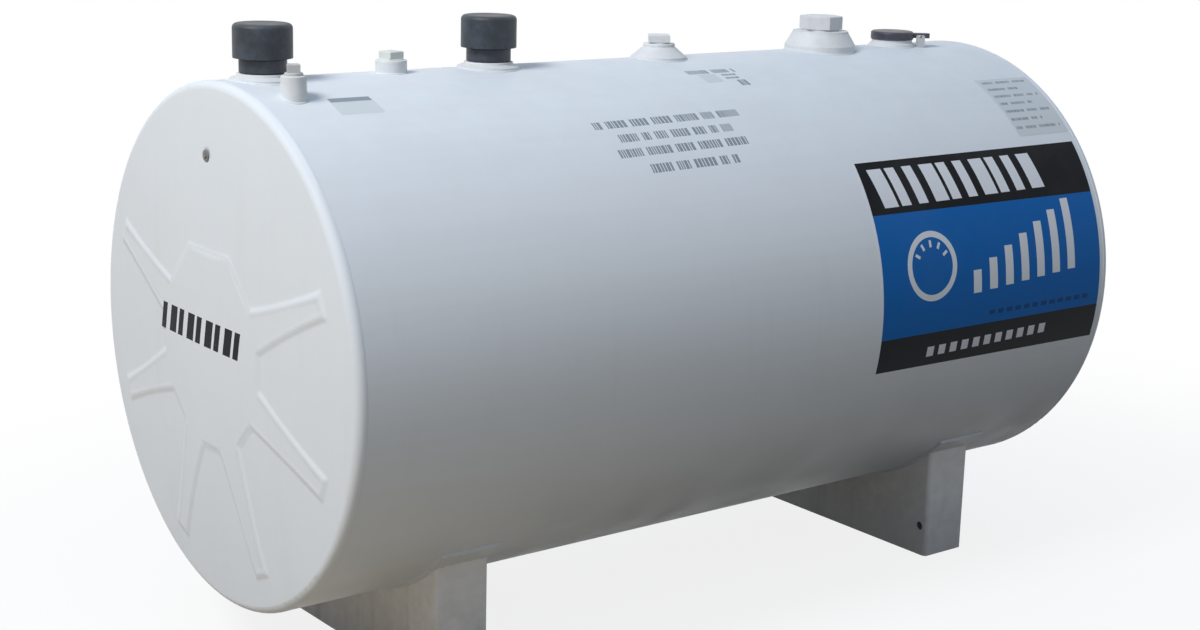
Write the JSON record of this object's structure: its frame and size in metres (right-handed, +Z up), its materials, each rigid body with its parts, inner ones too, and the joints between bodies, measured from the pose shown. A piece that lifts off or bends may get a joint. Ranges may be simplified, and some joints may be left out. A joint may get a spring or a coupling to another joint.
{
  "type": "horizontal fuel storage tank",
  "caption": "White horizontal fuel storage tank with shallow, star-pressed ends, emergency vents and plugged ports on top, standing on formed plate saddles.",
  "frame": {"origin": "centre of the bounding box's bottom: on the ground under the middle of the tank", "axes": "+X along the tank towards its far head, away from the end with the first vent; +Z up; -Y towards the side that carries the decals"},
  "size_m": [2.4508, 1.22, 1.5155],
  "materials": {
    "tank_paint": "gloss",
    "saddle_paint": "satin",
    "port_paint": "gloss",
    "vent_black": "satin",
    "gauge_plastic": "matte",
    "cap_slate": "satin",
    "dark_plug": "satin"
  },
  "bodies": {
    "root": {"shell": "tank_paint", "near_head": "tank_paint", "far_head": "tank_paint", "near_saddle": "saddle_paint", "far_saddle": "saddle_paint", "near_saddle_foot": "saddle_paint", "far_saddle_foot": "saddle_paint", "near_wear_plate": "saddle_paint", "far_wear_plate": "saddle_paint", "near_vent_flange": "port_paint", "middle_vent_flange": "port_paint", "monitor_coupling": "port_paint", "gauge_coupling": "port_paint", "pump_flange": "port_paint", "large_flange": "port_paint", "fill_flange": "port_paint", "large_plug": "port_paint", "pump_plug": "port_paint", "monitor_plug": "port_paint", "fill_hasp": "port_paint", "near_vent_body": "vent_black", "near_vent_hood": "vent_black", "middle_vent_body": "vent_black", "middle_vent_hood": "vent_black", "gauge_plug": "gauge_plastic", "fill_cap": "cap_slate", "head_plug": "dark_plug"}
  },
  "joints": []
}
